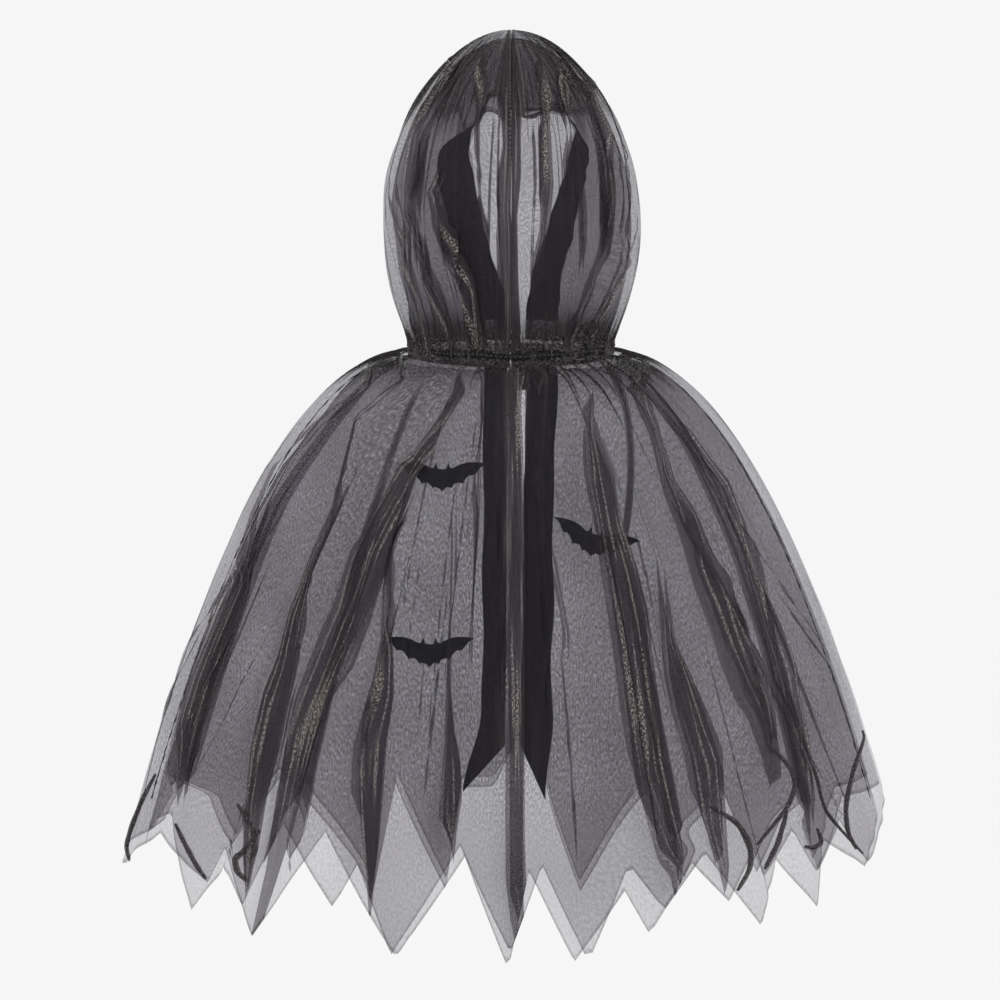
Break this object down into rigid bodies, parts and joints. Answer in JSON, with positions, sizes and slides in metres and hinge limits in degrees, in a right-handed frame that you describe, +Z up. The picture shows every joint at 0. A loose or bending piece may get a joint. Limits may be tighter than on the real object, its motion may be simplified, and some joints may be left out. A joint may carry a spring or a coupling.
{
  "type": "hooded costume cape",
  "caption": "Child's sheer black hooded cape with layered zigzag hem, satin front facings, bat patches, swinging fronts and a hood that tips back.",
  "frame": {"origin": "centre of the neck seam, level with its lower edge, where the cape rests on the wearer's neck and shoulders", "axes": "+Z up, +Y towards the wearer's back, +X towards the wearer's left"},
  "size_m": [0.7766, 0.3072, 0.9252],
  "materials": {
    "sheer_fabric": "sheer plain-weave organza with a silky sparkle",
    "satin_facing": "black satin",
    "seam_tape": "overlocked thread",
    "bat_fabric": "matte flock",
    "label_tape": "woven tape, blank",
    "hook_and_loop": "matte hook and loop tape"
  },
  "bodies": {
    "cape_back": {"neck_binding": "satin_facing", "back_outer_layer": "sheer_fabric", "back_inner_layer": "sheer_fabric", "left_side_seam": "seam_tape", "right_side_seam": "seam_tape", "bat_patch_upper_left": "bat_fabric", "bat_patch_lower_left": "bat_fabric", "bat_patch_right": "bat_fabric", "neck_patch_loop_side": "hook_and_loop"},
    "hood": {"hood_left_outer_panel": "sheer_fabric", "hood_left_lining": "sheer_fabric", "hood_left_face_band": "satin_facing", "hood_right_outer_panel": "sheer_fabric", "hood_right_lining": "sheer_fabric", "hood_right_face_band": "satin_facing", "hood_centre_seam": "seam_tape"},
    "left_front": {"left_front_outer_layer": "sheer_fabric", "left_front_inner_layer": "sheer_fabric", "left_front_facing_band": "satin_facing"},
    "right_front": {"right_front_outer_layer": "sheer_fabric", "right_front_inner_layer": "sheer_fabric", "right_front_facing_band": "satin_facing"},
    "neck_tab": {"neck_tab_hook_side": "hook_and_loop"},
    "label": {"neck_label": "label_tape"}
  },
  "joints": [
    {"name": "hood_tip_back", "type": "hinge", "parent": "cape_back", "child": "hood", "pos_m": [0, 0.0665, 0.0122], "axis": [-1, 0, 0], "range_deg": [0, 85]},
    {"name": "left_front_swing", "type": "hinge", "parent": "cape_back", "child": "left_front", "pos_m": [0.012, -0.062, 0], "axis": [-0.6357, -0.0886, 0.7669], "range_deg": [0, 50], "deforming": ["left_front_outer_layer", "left_front_inner_layer"]},
    {"name": "right_front_swing", "type": "hinge", "parent": "cape_back", "child": "right_front", "pos_m": [-0.036, -0.062, 0], "axis": [-0.6103, 0.0909, -0.7869], "range_deg": [0, 50], "deforming": ["right_front_outer_layer", "right_front_inner_layer"]},
    {"name": "neck_tab_open", "type": "hinge", "parent": "cape_back", "child": "neck_tab", "pos_m": [0.006, -0.06582, 0.0063], "axis": [0, 0, 1], "range_deg": [0, 120]},
    {"name": "label_lift", "type": "hinge", "parent": "cape_back", "child": "label", "pos_m": [-0.013, 0.052, -0.003], "axis": [-1, 0, 0], "range_deg": [0, 100]}
  ]
}
